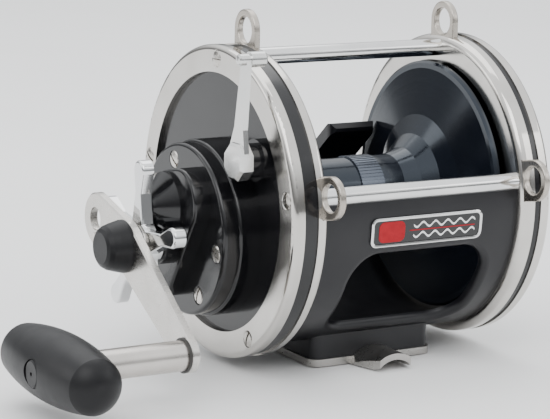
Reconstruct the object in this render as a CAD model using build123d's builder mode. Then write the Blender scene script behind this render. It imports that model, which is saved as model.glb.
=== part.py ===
# A star-drag trolling reel, built from the pieces that a real one has.
# X runs along the spool's axis with the crank at -X, the line leaves towards -Y, and Z is up.
# The origin is the centre of the foot's underside, and the spool's axis is AXLE_Z above it.
import math
import os

from build123d import *

os.makedirs("parts", exist_ok=True)

# Driving dimensions, in millimetres
AXLE_Z = 67.0                  # spool axis above the foot's underside
RING_R = 64.0                  # outside radius of the side rings
RING_BORE_R = 53.0             # bore of the side rings
BAR_CIRCLE_R = 58.6            # circle on which bars and ring screws stand
BAR_R = 3.6
TOP_BAR_ANGLE = 90.0
FRONT_BAR_ANGLE = 170.0
INNER_X = 46.0                 # inner face of each inner ring, either side of the middle
H_RIM_X = -50.5                # crank side: inner ring ends, plate rim starts
H_OUTER_X = -56.5              # crank side: plate rim ends, outer ring starts
H_FACE_X = -61.5               # crank side: outer ring's face
H_PLATE_X = -59.5              # crank side: face of the black plate
T_RIM_X = 52.4                 # tail side, the same stack the other way
T_OUTER_X = 55.4
T_FACE_X = 60.4
T_PLATE_X = 58.4
BEAD = 2.2                     # roundness of the rings' outer edges
TAIL_BEAD = 3.4                # the same on the tail side's wider inner ring
SPOOL = (0.0, AXLE_Z)          # (Y, Z) of the spool's axis
GEAR_DROP = 14.8               # gear axis below the spool's axis
GEAR = (0.0, AXLE_Z - GEAR_DROP)
HOUSING = (0.0, AXLE_Z - 10.0)  # (Y, Z) centre of the gear housing
MODULE = 0.8
MAIN_TEETH = 25
PINION_TEETH = 12
PRESSURE_ANGLE = math.radians(25.0)
LEVER = (-36.3, AXLE_Z + 23.0)  # (Y, Z) of the free-spool lever's pivot
POST = (-52.4, AXLE_Z - 47.5)   # (Y, Z) of the grip's post
GRIP_X = -153.2
RUN = 0.05                     # radial running clearance of shafts in holes


def axis_plane(centre):
    """Plane through a turning axis: local x along the axis, local y outwards from it."""
    return Plane(origin=(0, centre[0], centre[1]), x_dir=(1, 0, 0), z_dir=(0, -1, 0))


def face_plane(x, centre=SPOOL):
    """Plane across the reel at x: local x is +Y, local y is +Z, and its normal is +X."""
    return Plane(origin=(x, centre[0], centre[1]), x_dir=(0, 1, 0), z_dir=(1, 0, 0))


def turn_axis(centre):
    return Axis((0, centre[0], centre[1]), (1, 0, 0))


def turned(profile, centre=SPOOL):
    """A piece turned on an axis along X, from (x, radius) points."""
    with BuildPart() as body:
        with BuildSketch(axis_plane(centre)):
            with BuildLine():
                Polyline(*profile, close=True)
            make_face()
        revolve(axis=turn_axis(centre))
    return body


def tube(x0, x1, r_in, r_out, centre=SPOOL):
    """A plain ring or disc from x0 to x1."""
    return turned([(x0, r_in), (x1, r_in), (x1, r_out), (x0, r_out)], centre)


def polar(radius, degrees, centre=(0.0, 0.0)):
    """(Y, Z) of a point on a circle, its angle counted from +Y towards +Z."""
    angle = math.radians(degrees)
    return (centre[0] + radius * math.cos(angle), centre[1] + radius * math.sin(angle))


def save(builder, name):
    builder.part.label = name
    export_step(builder.part, f"parts/{name}.step")


# ---------------------------------------------------------------- side rings and plates
def beaded_ring(x_square, x_bead, r_in, bead=BEAD):
    """A side ring whose outer edge is rounded on the x_bead side."""
    side = 1 if x_bead > x_square else -1
    shoulder_x = x_bead - side * bead
    with BuildPart() as ring:
        with BuildSketch(axis_plane(SPOOL)):
            with BuildLine():
                Line((x_square, r_in), (x_bead, r_in))
                Line((x_bead, r_in), (x_bead, RING_R - bead))
                RadiusArc((x_bead, RING_R - bead), (shoulder_x, RING_R), -side * bead)
                Line((shoulder_x, RING_R), (x_square, RING_R))
                Line((x_square, RING_R), (x_square, r_in))
            make_face()
        revolve(axis=turn_axis(SPOOL))
    return ring


RING_SCREW_ANGLES = (90, 10, 170, 240, 300)
RING_SCREW_R = 1.6
RING_HEAD_R = 3.3
RING_HEAD_DEPTH = 1.6
HEAD_GAP = 0.3                 # dark gap between a head and its seat


def countersunk_screw(x_face, x_end, head_r, shank_r, centre, slot_turn):
    """A slotted screw whose domed head is at x_face and whose shank runs to x_end."""
    side = 1 if x_end > x_face else -1
    under_head = x_face + side * RING_HEAD_DEPTH
    profile = [
        (x_face - side * 0.5, 0), (x_face - side * 0.4, 0.45 * head_r),
        (x_face - side * 0.1, 0.85 * head_r), (x_face + side * 0.25, head_r),
        (under_head, shank_r), (x_end, shank_r), (x_end, 0),
    ]
    with BuildPart() as screw:
        with BuildSketch(axis_plane(centre)):
            with BuildLine():
                Polyline(*profile, close=True)
            make_face()
        revolve(axis=turn_axis(centre))
        with BuildSketch(face_plane(x_face - side * 0.6, centre)):
            with Locations(Rotation(0, 0, slot_turn)):
                Rectangle(2.4 * head_r, 0.9)
        extrude(amount=side * 1.4, mode=Mode.SUBTRACT)
    return screw


def screw_seats(x_face, side, centres, head_r, shank_r, depth):
    """Countersunk holes, as one body to take away from a plate."""
    seats = []
    for centre in centres:
        under_head = x_face + side * RING_HEAD_DEPTH
        end = x_face + side * depth
        profile = [
            (x_face, 0), (x_face, head_r + HEAD_GAP), (under_head, shank_r + HEAD_GAP),
            (under_head, shank_r), (end, shank_r), (end, 0),
        ]
        seats.append(turned(profile, centre).part)
    return seats


def minus(builder, tools):
    """The same piece with bodies taken away."""
    with BuildPart() as cut:
        add(builder.part)
        for tool in tools:
            add(tool, mode=Mode.SUBTRACT)
    return cut


ring_screw_centres = [polar(BAR_CIRCLE_R, a, SPOOL) for a in RING_SCREW_ANGLES]
h_ring_seats = screw_seats(H_FACE_X, 1, ring_screw_centres, RING_HEAD_R, RING_SCREW_R, 14.0)
t_ring_seats = screw_seats(T_FACE_X, -1, ring_screw_centres, RING_HEAD_R, RING_SCREW_R, 12.5)

outer_ring_crank = minus(beaded_ring(H_OUTER_X, H_FACE_X, RING_BORE_R), h_ring_seats)
save(outer_ring_crank, "outer_ring_crank")
outer_ring_tail = minus(beaded_ring(T_OUTER_X, T_FACE_X, RING_BORE_R), t_ring_seats)
save(outer_ring_tail, "outer_ring_tail")

# Lugs: flat eyes let into the inner rings, one at each end of both bars
LUG_THICK = 2.8
LUG_WIDTH = 17.0
LUG_HOLE_R = 5.5
LUG_HOLE_CIRCLE = 69.6
LUG_ROOT_R = 61.0
CRANK_LUG_X = -48.9
TAIL_LUG_X = 47.2


def lug(x_start, angle):
    """A flat eye; its hole takes a harness snap."""
    outwards = Plane(
        origin=(x_start, SPOOL[0], SPOOL[1]), x_dir=(0,) + polar(1.0, angle), z_dir=(1, 0, 0)
    )
    with BuildPart() as eye:
        with BuildSketch(outwards):
            with Locations((LUG_HOLE_CIRCLE, 0)):
                Circle(LUG_WIDTH / 2)
            with Locations(((LUG_HOLE_CIRCLE + LUG_ROOT_R) / 2, 0)):
                Rectangle(LUG_HOLE_CIRCLE - LUG_ROOT_R, LUG_WIDTH)
            with Locations((LUG_HOLE_CIRCLE, 0)):
                Circle(LUG_HOLE_R, mode=Mode.SUBTRACT)
        extrude(amount=LUG_THICK)
        fillet(eye.edges().filter_by(GeomType.CIRCLE), 0.7)
    return eye.part


def lug_slot(x_start, angle):
    """The slot that a lug's root fills."""
    outwards = Plane(
        origin=(x_start, SPOOL[0], SPOOL[1]), x_dir=(0,) + polar(1.0, angle), z_dir=(1, 0, 0)
    )
    with BuildPart() as slot:
        with BuildSketch(outwards):
            with Locations((LUG_ROOT_R + 5, 0)):
                Rectangle(10, LUG_WIDTH)
        extrude(amount=LUG_THICK)
    return slot.part


LUG_ANGLES = (TOP_BAR_ANGLE, FRONT_BAR_ANGLE)
with BuildPart() as harness_lugs:
    add([lug(x, a) for x in (CRANK_LUG_X, TAIL_LUG_X) for a in LUG_ANGLES])
save(harness_lugs, "harness_lugs")

crank_lug_slots = [lug_slot(CRANK_LUG_X, a) for a in LUG_ANGLES]
inner_ring_crank = minus(
    beaded_ring(H_RIM_X, -INNER_X, RING_BORE_R), h_ring_seats + crank_lug_slots
)
save(inner_ring_crank, "inner_ring_crank")
tail_lug_slots = [lug_slot(TAIL_LUG_X, a) for a in LUG_ANGLES]
inner_ring_tail = minus(
    beaded_ring(T_RIM_X, INNER_X, RING_BORE_R, TAIL_BEAD), t_ring_seats + tail_lug_slots
)
save(inner_ring_tail, "inner_ring_tail")


def screw_group(x_face, x_end, centres, head_r, shank_r, name):
    """Identical slotted screws, each a solid of its own, in one node."""
    screws = []
    for index, centre in enumerate(centres):
        screws.append(countersunk_screw(x_face, x_end, head_r, shank_r, centre, 37 * index).part)
    with BuildPart() as group:
        add(screws)
    save(group, name)


screw_group(H_FACE_X, H_FACE_X + 13.5, ring_screw_centres, RING_HEAD_R, RING_SCREW_R, "ring_screws_crank")
screw_group(T_FACE_X, T_FACE_X - 12.0, ring_screw_centres, RING_HEAD_R, RING_SCREW_R, "ring_screws_tail")

# Crank-side plate: a rim between the rings, a raised black face and the boss of the gear housing
RIM_R = 63.4
PLATE_R = 52.9
CAVITY_R = 50.0
PLATE_BACK_X = -56.0
BOSS_R = 36.0
BOSS_X = -69.5
HOUSING_R = 22.5
COVER_SCREW_R = 28.4
COVER_SCREW_ANGLES = (33.0, 73.5, 190.5, 240.5, 315.0, 345.0)
BUSHING_R = 5.0

cover_screw_centres = [polar(COVER_SCREW_R, a, HOUSING) for a in COVER_SCREW_ANGLES]
BRIDGE_SCREW_R = 25.8
bridge_screw_centres = [polar(BRIDGE_SCREW_R, a, HOUSING) for a in (0, 60, 150, 215, 335)]

with BuildPart() as crank_plate_blank:
    with BuildSketch(axis_plane(SPOOL)):
        with BuildLine():
            Polyline(
                (H_PLATE_X, 0), (H_PLATE_X, PLATE_R), (H_OUTER_X, PLATE_R), (H_OUTER_X, RIM_R),
                (H_RIM_X, RIM_R), (H_RIM_X, CAVITY_R), (PLATE_BACK_X, CAVITY_R), (PLATE_BACK_X, 0),
                close=True,
            )
        make_face()
    revolve(axis=turn_axis(SPOOL))
    with BuildSketch(face_plane(BOSS_X, HOUSING)):
        Circle(BOSS_R)
    extrude(amount=H_PLATE_X - BOSS_X)
    fillet(crank_plate_blank.edges().filter_by(GeomType.CIRCLE).group_by(Axis.X)[0], 1.2)
    with BuildSketch(face_plane(BOSS_X, HOUSING)):
        Circle(HOUSING_R)
    extrude(amount=PLATE_BACK_X - BOSS_X, mode=Mode.SUBTRACT)
    with BuildSketch(face_plane(H_PLATE_X, LEVER)):
        Circle(BUSHING_R)
    extrude(amount=PLATE_BACK_X - H_PLATE_X, mode=Mode.SUBTRACT)

cover_screw_holes = [tube(BOSS_X, BOSS_X + 9.0, 0, 1.6, c).part for c in cover_screw_centres]
bridge_screw_holes = [tube(-64.0, PLATE_BACK_X, 0, 1.3, c).part for c in bridge_screw_centres]
side_plate_crank = minus(crank_plate_blank, h_ring_seats + cover_screw_holes + bridge_screw_holes)
save(side_plate_crank, "side_plate_crank")

# Tail-side plate, with the boss that holds the tail bearing
TAIL_BOSS_R = 15.0
TAIL_BOSS_X = 66.0
TAIL_BEARING_R = 8.0
TAIL_CLICK = (20.0, AXLE_Z - 12.0)   # (Y, Z) of the click button's rest place
CLICK_TRAVEL = 5.0
TONGUE = (22.0, AXLE_Z)              # (Y, Z) of the click tongue's pivot

with BuildPart() as tail_plate_blank:
    with BuildSketch(axis_plane(SPOOL)):
        with BuildLine():
            Polyline(
                (T_PLATE_X, TAIL_BEARING_R), (T_PLATE_X, PLATE_R), (T_OUTER_X, PLATE_R),
                (T_OUTER_X, RIM_R), (T_RIM_X, RIM_R), (T_RIM_X, CAVITY_R), (T_OUTER_X, CAVITY_R),
                (T_OUTER_X, TAIL_BEARING_R), close=True,
            )
        make_face()
    revolve(axis=turn_axis(SPOOL))
    with BuildSketch(face_plane(T_PLATE_X)):
        Circle(TAIL_BOSS_R)
        Circle(TAIL_BEARING_R, mode=Mode.SUBTRACT)
    extrude(amount=TAIL_BOSS_X - T_PLATE_X)
    with BuildSketch(face_plane(T_OUTER_X, TAIL_CLICK)):
        with Locations((CLICK_TRAVEL / 2, 0)):
            SlotCenterToCenter(CLICK_TRAVEL, 4.2)
    extrude(amount=T_PLATE_X - T_OUTER_X, mode=Mode.SUBTRACT)
side_plate_tail = minus(tail_plate_blank, t_ring_seats)
save(side_plate_tail, "side_plate_tail")

# ---------------------------------------------------------------- frame, foot, bars, lugs
SHELL_OUT_R = 60.0
SHELL_IN_R = 56.0
SHELL_START = 172.0            # front edge, which cradles the front bar
SHELL_END = 363.0              # rear edge
TAB_X = (17.0, 39.8)           # thumb rest, between the spool's flanges
FOOT_TOP = 3.0                 # top of the foot plate
FOOT_X = 29.5
FOOT_Y = 27.0
BLOCK_X = 28.5
BLOCK_Y = 26.0
BLOCK_TALL = 13.0
WINDOW_ANGLE = 216.5
WINDOW_SIZE = (64.0, 42.0)
WINDOW_SHIFT = 2.5
CLAMP_HOLE_R = 2.5
CLAMP_HOLE_DEPTH = 8.0
CLAMP_SPACING = (44.0, 40.0)
FOOT_SCREWS = ((-23.0, 0.0), (23.0, 0.0))


def sector(r_in, r_out, start, end):
    """Outline of part of a ring about the spool's axis."""
    middle = (start + end) / 2
    with BuildSketch() as outline:
        with BuildLine():
            ThreePointArc(polar(r_out, start), polar(r_out, middle), polar(r_out, end))
            Line(polar(r_out, end), polar(r_in, end))
            ThreePointArc(polar(r_in, end), polar(r_in, middle), polar(r_in, start))
            Line(polar(r_in, start), polar(r_out, start))
        make_face()
    return outline.sketch


window_normal = polar(1.0, WINDOW_ANGLE)
window_plane = Plane(
    origin=(WINDOW_SHIFT, SPOOL[0] + 50 * window_normal[0], SPOOL[1] + 50 * window_normal[1]),
    x_dir=(1, 0, 0),
    z_dir=(0, window_normal[0], window_normal[1]),
)

with BuildPart() as foot_block:
    with BuildSketch(Plane.XY.offset(FOOT_TOP)):
        RectangleRounded(2 * BLOCK_X, 2 * BLOCK_Y, 4)
    extrude(amount=BLOCK_TALL)
    with BuildSketch(face_plane(-BLOCK_X - 1)):
        Circle((SHELL_IN_R + SHELL_OUT_R) / 2)
    extrude(amount=2 * BLOCK_X + 2, mode=Mode.SUBTRACT)

with BuildPart() as frame_casting:
    with BuildSketch(face_plane(-INNER_X)):
        add(sector(SHELL_IN_R, SHELL_OUT_R, SHELL_START, SHELL_END))
    extrude(amount=2 * INNER_X)
    # The thumb rest leans from the rear edge in over the spool, and its top corners are round
    with BuildSketch(face_plane(TAB_X[0])):
        with BuildLine():
            Polyline(
                (59.7, 2.0), (58.4, 7.0), (41.4, 21.4), (39.6, 21.6), (37.6, 19.6), (37.8, 18.0),
                (53.6, 4.4), (56.4, 0.0), close=True,
            )
        make_face()
    thumb_rest = extrude(amount=TAB_X[1] - TAB_X[0])
    with BuildSketch(Plane.XY.offset(AXLE_Z + 12.0)):
        with Locations(((TAB_X[0] + TAB_X[1]) / 2, 45)):
            Rectangle(TAB_X[1] - TAB_X[0] + 2, 17)
            RectangleRounded(TAB_X[1] - TAB_X[0] - 0.02, 16, 4.5, mode=Mode.SUBTRACT)
        with Locations(((TAB_X[0] + TAB_X[1]) / 2, 50)):
            Rectangle(TAB_X[1] - TAB_X[0] + 2, 10, mode=Mode.SUBTRACT)
    extrude(amount=12, mode=Mode.SUBTRACT)
    # Foot block, from the foot plate up into the shell's wall
    add(foot_block.part)
    add(
        tube(-INNER_X, INNER_X, 0, BAR_R + 0.05, polar(BAR_CIRCLE_R, FRONT_BAR_ANGLE, SPOOL)).part,
        mode=Mode.SUBTRACT,
    )
    with BuildSketch(window_plane):
        RectangleRounded(WINDOW_SIZE[0], WINDOW_SIZE[1], 12)
    extrude(amount=16, mode=Mode.SUBTRACT)
    with BuildSketch(Plane.XY.offset(FOOT_TOP)):
        with GridLocations(CLAMP_SPACING[0], CLAMP_SPACING[1], 2, 2):
            Circle(CLAMP_HOLE_R)
    extrude(amount=CLAMP_HOLE_DEPTH - FOOT_TOP, mode=Mode.SUBTRACT)
    with BuildSketch(Plane.XY.offset(FOOT_TOP)):
        with Locations(*FOOT_SCREWS):
            Circle(1.5)
    extrude(amount=5.5, mode=Mode.SUBTRACT)


def on_window_rim(edge):
    """Whether an edge of the shell is where the window meets its outer surface."""
    for place in (edge @ 0, edge @ 0.5, edge @ 1):
        y, z = place.Y - SPOOL[0], place.Z - SPOOL[1]
        outwards = y * window_normal[0] + z * window_normal[1]
        if math.hypot(y, z) < SHELL_OUT_R - 0.5 or outwards < SHELL_OUT_R / 2:
            return False
        if abs(z * window_normal[0] - y * window_normal[1]) > WINDOW_SIZE[1] / 2 + 0.3:
            return False
        if abs(place.X - WINDOW_SHIFT) > WINDOW_SIZE[0] / 2 + 0.3:
            return False
    return True


with BuildPart() as frame_shell:
    add(frame_casting.part.solids().sort_by(SortBy.VOLUME)[-1])
    fillet(frame_shell.edges().filter_by(on_window_rim), 3.0)
save(frame_shell, "frame_shell")

TONGUE_ROOT = 24.0
TONGUE_TIP = 15.0
TONGUE_LENGTH = 17.0
TONGUE_ARCH_R = 13.4           # outside of the arch, which clears a rod's seat
TONGUE_ARCH_Z = -6.6           # height of the arch's centre
TONGUE_THICK = 2.6


def tongue(end):
    """An arched tongue at the front (-1) or rear (1) of the foot plate, tapered towards its tip."""
    root_y = FOOT_Y - 0.9
    tip_y = FOOT_Y + TONGUE_LENGTH
    with BuildPart() as arch:
        with BuildSketch(Plane.XZ.offset(-end * root_y)):
            with Locations((0, TONGUE_ARCH_Z)):
                Circle(TONGUE_ARCH_R)
                Circle(TONGUE_ARCH_R - TONGUE_THICK, mode=Mode.SUBTRACT)
            with Locations((0, -10)):
                Rectangle(60, 20, mode=Mode.SUBTRACT)
        extrude(amount=-end * (tip_y - root_y))
        with BuildSketch(Plane.XY):
            with BuildLine():
                Polyline(
                    (-TONGUE_ROOT / 2, end * root_y), (TONGUE_ROOT / 2, end * root_y),
                    (TONGUE_TIP / 2, end * tip_y), (-TONGUE_TIP / 2, end * tip_y), close=True,
                )
            make_face()
        extrude(amount=20, mode=Mode.INTERSECT)
    return arch.part


with BuildPart() as foot_plate:
    with BuildSketch(Plane.XY):
        RectangleRounded(2 * FOOT_X, 2 * FOOT_Y, 5)
    extrude(amount=FOOT_TOP)
    add([tongue(-1), tongue(1)])
    with BuildSketch(Plane.XY):
        with GridLocations(CLAMP_SPACING[0], CLAMP_SPACING[1], 2, 2):
            Circle(CLAMP_HOLE_R)
        with Locations(*FOOT_SCREWS):
            Circle(3.2)
    extrude(amount=FOOT_TOP + 3, mode=Mode.SUBTRACT)
save(foot_plate, "foot_plate")

foot_screw_solids = []
for screw_x, screw_y in FOOT_SCREWS:
    with BuildPart() as foot_screw:
        with BuildSketch(Plane.XY.offset(0.4)):
            with Locations((screw_x, screw_y)):
                Circle(3.2 - RUN)
        extrude(amount=FOOT_TOP - 0.4)
        with BuildSketch(Plane.XY.offset(FOOT_TOP)):
            with Locations((screw_x, screw_y)):
                Circle(1.5)
        extrude(amount=5.5)
        with BuildSketch(Plane.XY.offset(0.4)):
            with Locations((screw_x, screw_y)):
                Rectangle(8, 0.9)
        extrude(amount=0.8, mode=Mode.SUBTRACT)
    foot_screw_solids.append(foot_screw.part)
with BuildPart() as foot_screws:
    add(foot_screw_solids)
save(foot_screws, "foot_screws")


def bar(angle):
    """A frame bar, from one inner ring to the other."""
    return tube(-INNER_X, INNER_X, 0, BAR_R, polar(BAR_CIRCLE_R, angle, SPOOL))


save(bar(TOP_BAR_ANGLE), "top_bar")
save(bar(FRONT_BAR_ANGLE), "front_bar")


# Nameplate, bent to the shell
PLATE_ANGLES = (179.6, 190.6)
NAMEPLATE_X = (-24.0, 28.5)
name_normal = polar(1.0, sum(PLATE_ANGLES) / 2)
name_plane = Plane(
    origin=(sum(NAMEPLATE_X) / 2, SPOOL[0] + 50 * name_normal[0], SPOOL[1] + 50 * name_normal[1]),
    x_dir=(1, 0, 0),
    z_dir=(0, name_normal[0], name_normal[1]),
)
NAMEPLATE_WIDTH = NAMEPLATE_X[1] - NAMEPLATE_X[0]
NAMEPLATE_TALL = 11.6
with BuildPart() as nameplate:
    add(tube(NAMEPLATE_X[0], NAMEPLATE_X[1], SHELL_OUT_R, SHELL_OUT_R + 0.8).part)
    with BuildSketch(name_plane):
        RectangleRounded(NAMEPLATE_WIDTH, NAMEPLATE_TALL, 2.6)
    extrude(amount=15, mode=Mode.INTERSECT)
    with BuildPart(mode=Mode.SUBTRACT):
        add(tube(NAMEPLATE_X[0], NAMEPLATE_X[1], SHELL_OUT_R + 0.5, SHELL_OUT_R + 2).part)
        with BuildSketch(name_plane):
            RectangleRounded(NAMEPLATE_WIDTH - 2, NAMEPLATE_TALL - 2, 1.8)
        extrude(amount=15, mode=Mode.INTERSECT)
save(nameplate, "nameplate")

# ---------------------------------------------------------------- gear cover and its cap
COVER_R = 35.0
COVER_X = -76.0
TEAR_X = -83.0
CAP_TIP_X = -91.8
CAP_R = 14.0
TEAR_LOBE = (-9.5, AXLE_Z + 3.0)
TEAR_LOBE_R = 13.6
TEAR_TAIL = (6.0, AXLE_Z - 29.0)
TEAR_TAIL_R = 9.5
COLLAR_R = 8.6
COLLAR_X = -88.0
SLEEVE_R = 5.0
HANDLE_BEARING_R = 8.0
BEARING_WIDTH = 5.0
H_BEARING_X = -77.0            # inner end of the crank-side bearing
COVER_HEAD_R = 3.5


def link(a, r_a, b, r_b):
    """Flat link outline around two circles, measured from the spool's axis."""
    return flat_link((a[0] - SPOOL[0], a[1] - SPOOL[1]), r_a, (b[0] - SPOOL[0], b[1] - SPOOL[1]), r_b)


def flat_link(near, r_a, far, r_b):
    """Outline around two circles and their common tangents."""
    length = math.dist(near, far)
    direction = math.degrees(math.atan2(far[1] - near[1], far[0] - near[0]))
    spread = math.degrees(math.acos((r_a - r_b) / length))
    with BuildSketch() as outline:
        with BuildLine():
            Polyline(
                polar(r_a, direction + spread, near), polar(r_b, direction + spread, far),
                polar(r_b, direction - spread, far), polar(r_a, direction - spread, near),
                close=True,
            )
        make_face()
        with Locations(near):
            Circle(r_a)
        with Locations(far):
            Circle(r_b)
    return outline.sketch


with BuildPart() as gear_cover_blank:
    with BuildSketch(face_plane(COVER_X, HOUSING)):
        Circle(COVER_R)
    extrude(amount=BOSS_X - COVER_X)
    fillet(gear_cover_blank.edges().filter_by(GeomType.CIRCLE).group_by(Axis.X)[0], 1.5)
    with BuildSketch(face_plane(TEAR_X)):
        add(link(SPOOL, CAP_R + 0.6, TEAR_LOBE, TEAR_LOBE_R))
        add(link(TEAR_LOBE, TEAR_LOBE_R, TEAR_TAIL, TEAR_TAIL_R))
        add(link(SPOOL, CAP_R + 0.6, TEAR_TAIL, TEAR_TAIL_R))
    extrude(amount=COVER_X - TEAR_X)
    fillet(gear_cover_blank.faces().sort_by(Axis.X)[0].edges(), 1.2)
    with BuildSketch(face_plane(COLLAR_X, GEAR)):
        Circle(COLLAR_R)
    extrude(amount=TEAR_X - COLLAR_X)
    # Room for the gears, the bearing and the sleeve
    with BuildSketch(face_plane(BOSS_X, HOUSING)):
        Circle(HOUSING_R)
    extrude(amount=-3.5, mode=Mode.SUBTRACT)
    with BuildSketch(face_plane(TEAR_X)):
        Circle(HANDLE_BEARING_R)
    extrude(amount=H_BEARING_X - TEAR_X, mode=Mode.SUBTRACT)
    with BuildSketch(face_plane(H_BEARING_X)):
        Circle(6.4)
    extrude(amount=6, mode=Mode.SUBTRACT)
    with BuildSketch(face_plane(COLLAR_X, GEAR)):
        Circle(SLEEVE_R + RUN)
    extrude(amount=20, mode=Mode.SUBTRACT)

cover_seats = screw_seats(COVER_X, 1, cover_screw_centres, COVER_HEAD_R, 1.6, 7.0)
gear_cover = minus(gear_cover_blank, cover_seats)
save(gear_cover, "gear_cover")
screw_group(COVER_X, BOSS_X + 8.5, cover_screw_centres, COVER_HEAD_R, 1.6, "cover_screws")

# The cap is cut away on one side, where the sleeve's collar stands beside it
bearing_cap = minus(
    turned([
        (TEAR_X + 0.9, 0), (TEAR_X + 0.9, HANDLE_BEARING_R - 0.02), (TEAR_X, HANDLE_BEARING_R - 0.02),
        (TEAR_X, CAP_R), (TEAR_X - 1.5, CAP_R), (CAP_TIP_X + 0.8, 5.8), (CAP_TIP_X, 5.0), (CAP_TIP_X, 0),
    ]),
    [tube(CAP_TIP_X - 1, TEAR_X, 0, COLLAR_R + 0.2, GEAR).part],
)
save(bearing_cap, "bearing_cap")

tail_cap = turned([
    (65.0, 0), (65.0, TAIL_BEARING_R - 0.02), (TAIL_BOSS_X, TAIL_BEARING_R - 0.02),
    (TAIL_BOSS_X, 12.0), (68.4, 12.0), (69.4, 11.0), (69.4, 0),
])
save(tail_cap, "tail_cap")

# ---------------------------------------------------------------- bearings
SHAFT_END_R = 2.4
TAIL_SHAFT_R = 3.0
T_BEARING_X = 60.0


def bearing(x_start, shaft_r, outer_r):
    """Inner race, outer race and balls of a ball bearing, as separate solids."""
    middle = x_start + BEARING_WIDTH / 2
    ball_circle = (shaft_r + outer_r) / 2
    ball_r = (outer_r - shaft_r) * 0.26
    race_gap = ball_r * 0.62
    inner_r = ball_circle - race_gap
    cup_r = ball_circle + race_gap
    with BuildPart() as groove:
        with BuildSketch(axis_plane(SPOOL)):
            with Locations((middle, ball_circle)):
                Circle(ball_r + RUN)
        revolve(axis=turn_axis(SPOOL))
    inner = minus(tube(x_start, x_start + BEARING_WIDTH, shaft_r, inner_r), [groove.part])
    outer = minus(tube(x_start, x_start + BEARING_WIDTH, cup_r, outer_r), [groove.part])
    balls = []
    for index in range(8):
        y, z = polar(ball_circle, 45 * index, SPOOL)
        balls.append(Pos(middle, y, z) * Sphere(ball_r))
    return inner.part, outer.part, balls


h_inner, h_outer, h_balls = bearing(H_BEARING_X - BEARING_WIDTH, SHAFT_END_R, HANDLE_BEARING_R)
t_inner, t_outer, t_balls = bearing(T_BEARING_X, TAIL_SHAFT_R, TAIL_BEARING_R)
with BuildPart() as bearing_inner_races:
    add([h_inner, t_inner])
save(bearing_inner_races, "bearing_inner_races")
with BuildPart() as bearing_outer_races:
    add([h_outer, t_outer])
save(bearing_outer_races, "bearing_outer_races")
with BuildPart() as bearing_balls:
    add(h_balls + t_balls)
save(bearing_balls, "bearing_balls")

# ---------------------------------------------------------------- spool
FLANGE_R = 53.2 - 0.6
FLANGE_X = 44.5
FLANGE_INNER_X = 41.5
ARBOR_R = 14.0
CORE_R = 5.0

with BuildPart() as spool:
    with BuildSketch(axis_plane(SPOOL)):
        with BuildLine():
            Polyline(
                (0, CORE_R), (0, ARBOR_R), (22, ARBOR_R), (29, 16.5), (34.5, 22),
                (38, 30), (FLANGE_INNER_X, 49.5), (FLANGE_INNER_X, FLANGE_R - 1),
                (FLANGE_INNER_X + 1, FLANGE_R), (FLANGE_X - 1, FLANGE_R), (FLANGE_X, FLANGE_R - 1),
                (FLANGE_X, 49), (41, 31), (37, 20), (31, 12.5), (31, CORE_R), close=True,
            )
        make_face()
    revolve(axis=turn_axis(SPOOL))
    mirror(about=Plane.YZ)
save(spool, "spool")

with BuildPart() as arbor_band:
    with BuildSketch(face_plane(1.0)):
        Circle(ARBOR_R + 0.7)
        with PolarLocations(ARBOR_R + 0.75, 60):
            Rectangle(0.5, 0.7, mode=Mode.SUBTRACT)
        Circle(ARBOR_R, mode=Mode.SUBTRACT)
    extrude(amount=11)
save(arbor_band, "arbor_band")

COLLAR_FACE_X = -44.0
LUG_TIP_X = -47.0
with BuildPart() as spool_shaft:
    with BuildSketch(axis_plane(SPOOL)):
        with BuildLine():
            Polyline(
                (-82.0, 0), (-82.0, SHAFT_END_R), (COLLAR_FACE_X, SHAFT_END_R), (COLLAR_FACE_X, 6.5),
                (-31.0, 6.5), (-31.0, CORE_R), (48.0, CORE_R), (48.0, TAIL_SHAFT_R),
                (64.8, TAIL_SHAFT_R), (64.8, 0), close=True,
            )
        make_face()
    revolve(axis=turn_axis(SPOOL))
    with BuildSketch(face_plane(LUG_TIP_X)):
        with PolarLocations(4.0, 2):
            Rectangle(2.6, 2.2)
    extrude(amount=COLLAR_FACE_X - LUG_TIP_X)
save(spool_shaft, "spool_shaft")

CLICK_TEETH = 20
with BuildPart() as click_ratchet:
    with BuildSketch(face_plane(46.5)):
        Circle(9.6)
        with PolarLocations(9.9, CLICK_TEETH):
            Circle(0.8, mode=Mode.SUBTRACT)
        Circle(CORE_R, mode=Mode.SUBTRACT)
    extrude(amount=1.5)
    with BuildSketch(face_plane(44.0)):
        Circle(7.0)
        Circle(CORE_R, mode=Mode.SUBTRACT)
    extrude(amount=2.5)
save(click_ratchet, "click_ratchet")


# ---------------------------------------------------------------- gear train
def involute_outline(teeth, thickness_angle, root_r, tip_r, turn):
    """Outline points of a spur gear; turn is the angle of its first tooth."""
    pitch_r = MODULE * teeth / 2
    base_r = pitch_r * math.cos(PRESSURE_ANGLE)
    pitch_roll = math.tan(PRESSURE_ANGLE) - PRESSURE_ANGLE
    start_r = max(base_r, root_r)
    flank = []
    for step in range(5):
        radius = start_r + (tip_r - start_r) * step / 4
        pressure = math.acos(min(1.0, base_r / radius))
        half = thickness_angle / 2 + pitch_roll - (math.tan(pressure) - pressure)
        flank.append((radius, half))
    if root_r < base_r:
        flank.insert(0, (root_r, flank[0][1]))
    outline = []
    for tooth in range(teeth):
        middle = turn + 2 * math.pi * tooth / teeth
        outline += [(radius, middle - half) for radius, half in flank]
        outline += [(radius, middle + half) for radius, half in reversed(flank)]
    return [(radius * math.cos(a), radius * math.sin(a)) for radius, a in outline]


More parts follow.
